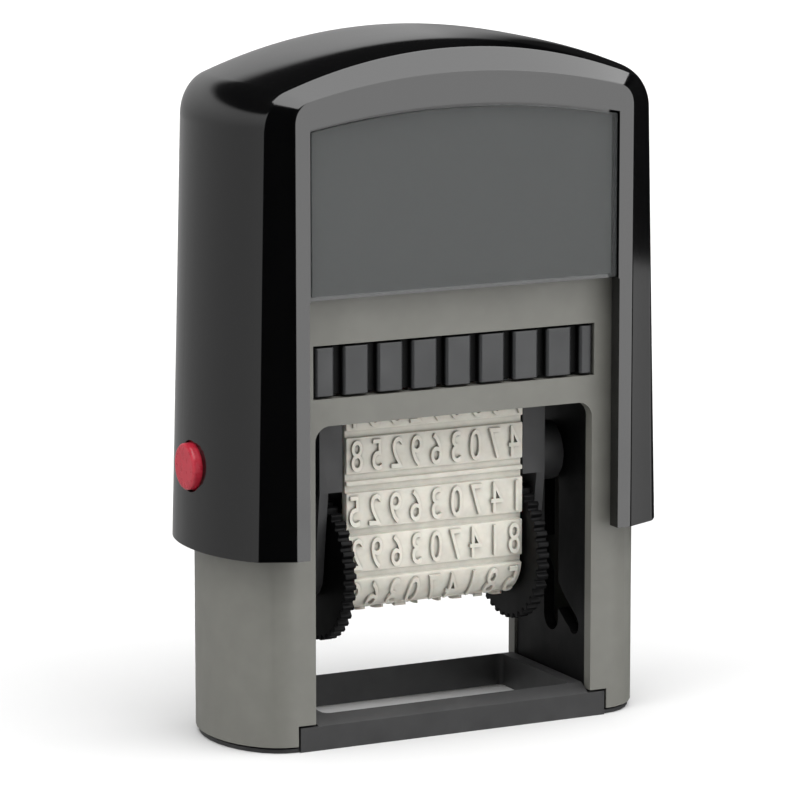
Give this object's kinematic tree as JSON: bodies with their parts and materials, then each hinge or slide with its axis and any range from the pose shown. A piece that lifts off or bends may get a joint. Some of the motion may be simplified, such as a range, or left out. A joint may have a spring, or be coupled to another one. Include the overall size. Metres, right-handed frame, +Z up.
{
  "type": "word band stamp",
  "caption": "Self-inking word band stamp: a sprung cap over a skirt presses and flips a phrase band unit on to the paper",
  "frame": {"origin": "middle of the base, on the surface that the stamp stands on", "axes": "+Z up towards the cap's crown, +X along the band's width to the right, -Y towards the front with the label"},
  "size_m": [0.0646, 0.028, 0.0883],
  "materials": {
    "skirt_plastic": "fine satin",
    "frame_plastic": "satin",
    "cap_plastic": "polished",
    "label_card": "matt",
    "label_window": "clear moulded sheet",
    "cassette_plastic": "semi-gloss",
    "ink_felt": "inked felt",
    "band_rubber": "matt",
    "button_plastic": "semi-gloss",
    "steel": "bright drawn"
  },
  "bodies": {
    "frame": {"skirt_frame": "skirt_plastic", "base_frame": "frame_plastic", "guide_wall_left": "frame_plastic", "guide_wall_right": "frame_plastic", "ink_cassette": "cassette_plastic", "ink_pad": "ink_felt", "return_spring": "steel"},
    "cap": {"cap_shell": "cap_plastic", "index_label": "label_card", "index_window": "label_window", "yoke": "frame_plastic", "axle_pin_left": "steel", "axle_pin_right": "steel"},
    "left_button": {"lock_button_left": "button_plastic"},
    "right_button": {"lock_button_right": "button_plastic"},
    "band_unit": {"carrier_cheek_left": "frame_plastic", "carrier_cheek_right": "frame_plastic", "print_platen": "frame_plastic", "tie_rod": "steel", "detent_leaf": "steel", "follower_pin_left": "steel", "follower_pin_right": "steel", "word_band": "band_rubber"},
    "wheels": {"drive_drum": "frame_plastic", "drum_shaft": "steel", "thumb_wheel_left": "frame_plastic", "thumb_wheel_right": "frame_plastic"}
  },
  "joints": [
    {"name": "cap_press", "type": "slide", "parent": "frame", "child": "cap", "axis": [0, 0, -1], "range_m": [0, 0.022], "stiffness_N_per_m": 600, "deforming": ["return_spring"]},
    {"name": "unit_flip", "type": "hinge", "parent": "cap", "child": "band_unit", "pos_m": [0, 0, 0.033], "axis": [-1, 0, 0], "range_deg": [0, 180]},
    {"name": "phrase_wheel", "type": "hinge", "parent": "band_unit", "child": "wheels", "pos_m": [0, 0, 0.0207], "axis": [1, 0, 0], "continuous": true},
    {"name": "lock_left", "type": "slide", "parent": "cap", "child": "left_button", "axis": [1, 0, 0], "range_m": [0, 0.0005], "stiffness_N_per_m": 300},
    {"name": "lock_right", "type": "slide", "parent": "cap", "child": "right_button", "axis": [-1, 0, 0], "range_m": [0, 0.0005], "stiffness_N_per_m": 300}
  ],
  "couplings": [
    {"joint": "unit_flip", "follows": "cap_press", "rad_per_m": 142.8}
  ]
}
